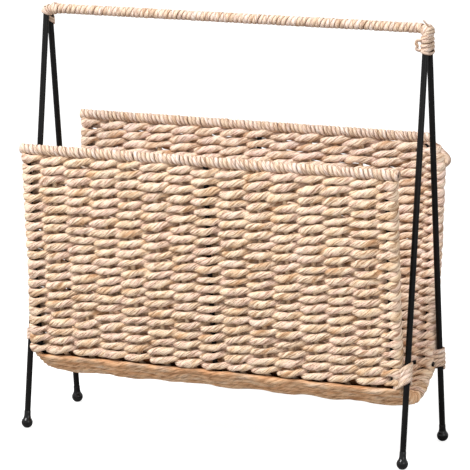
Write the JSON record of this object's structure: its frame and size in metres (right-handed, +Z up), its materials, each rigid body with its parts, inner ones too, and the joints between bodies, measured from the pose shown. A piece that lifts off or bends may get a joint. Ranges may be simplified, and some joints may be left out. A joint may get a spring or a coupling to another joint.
{
  "type": "magazine basket",
  "caption": "Open-ended woven cord trough for magazines, hung between two black steel A-frames that a cord-bound handle joins at the top.",
  "frame": {"origin": "on the floor, under the middle of the basket's outer box", "axes": "+Z up, +X along the handle to the right of a viewer in front, -Y to the front"},
  "size_m": [0.416, 0.1486, 0.4246],
  "materials": {
    "painted_steel": "satin black paint",
    "foot_cap": "glossy black",
    "cord_weave": "twisted plant-fibre cord, natural straw colour",
    "cord_stake": "twisted plant-fibre cord, natural straw colour",
    "cord_wrap": "twisted plant-fibre cord, wound close"
  },
  "bodies": {
    "root": {"left_front_leg": "painted_steel", "left_rear_leg": "painted_steel", "right_front_leg": "painted_steel", "right_rear_leg": "painted_steel", "left_front_foot": "foot_cap", "left_rear_foot": "foot_cap", "right_front_foot": "foot_cap", "right_rear_foot": "foot_cap", "handle_rod": "painted_steel", "front_lower_rod": "painted_steel", "rear_lower_rod": "painted_steel", "front_rim_rod": "painted_steel", "rear_rim_rod": "painted_steel", "left_end_hoop": "painted_steel", "centre_hoop": "painted_steel", "right_end_hoop": "painted_steel", "stake_1": "cord_stake", "stake_2": "cord_stake", "stake_3": "cord_stake", "stake_4": "cord_stake", "stake_5": "cord_stake", "stake_6": "cord_stake", "stake_7": "cord_stake", "stake_8": "cord_stake", "stake_9": "cord_stake", "stake_10": "cord_stake", "stake_11": "cord_stake", "stake_12": "cord_stake", "front_weave": "cord_weave", "rear_weave": "cord_weave", "floor_weave": "cord_weave", "front_rim_wrap": "cord_wrap", "rear_rim_wrap": "cord_wrap", "handle_wrap": "cord_wrap", "right_corner_wrap": "cord_wrap", "left_corner_wrap": "cord_wrap", "left_front_binding": "cord_wrap", "left_rear_binding": "cord_wrap", "right_front_binding": "cord_wrap", "right_rear_binding": "cord_wrap"}
  },
  "joints": []
}
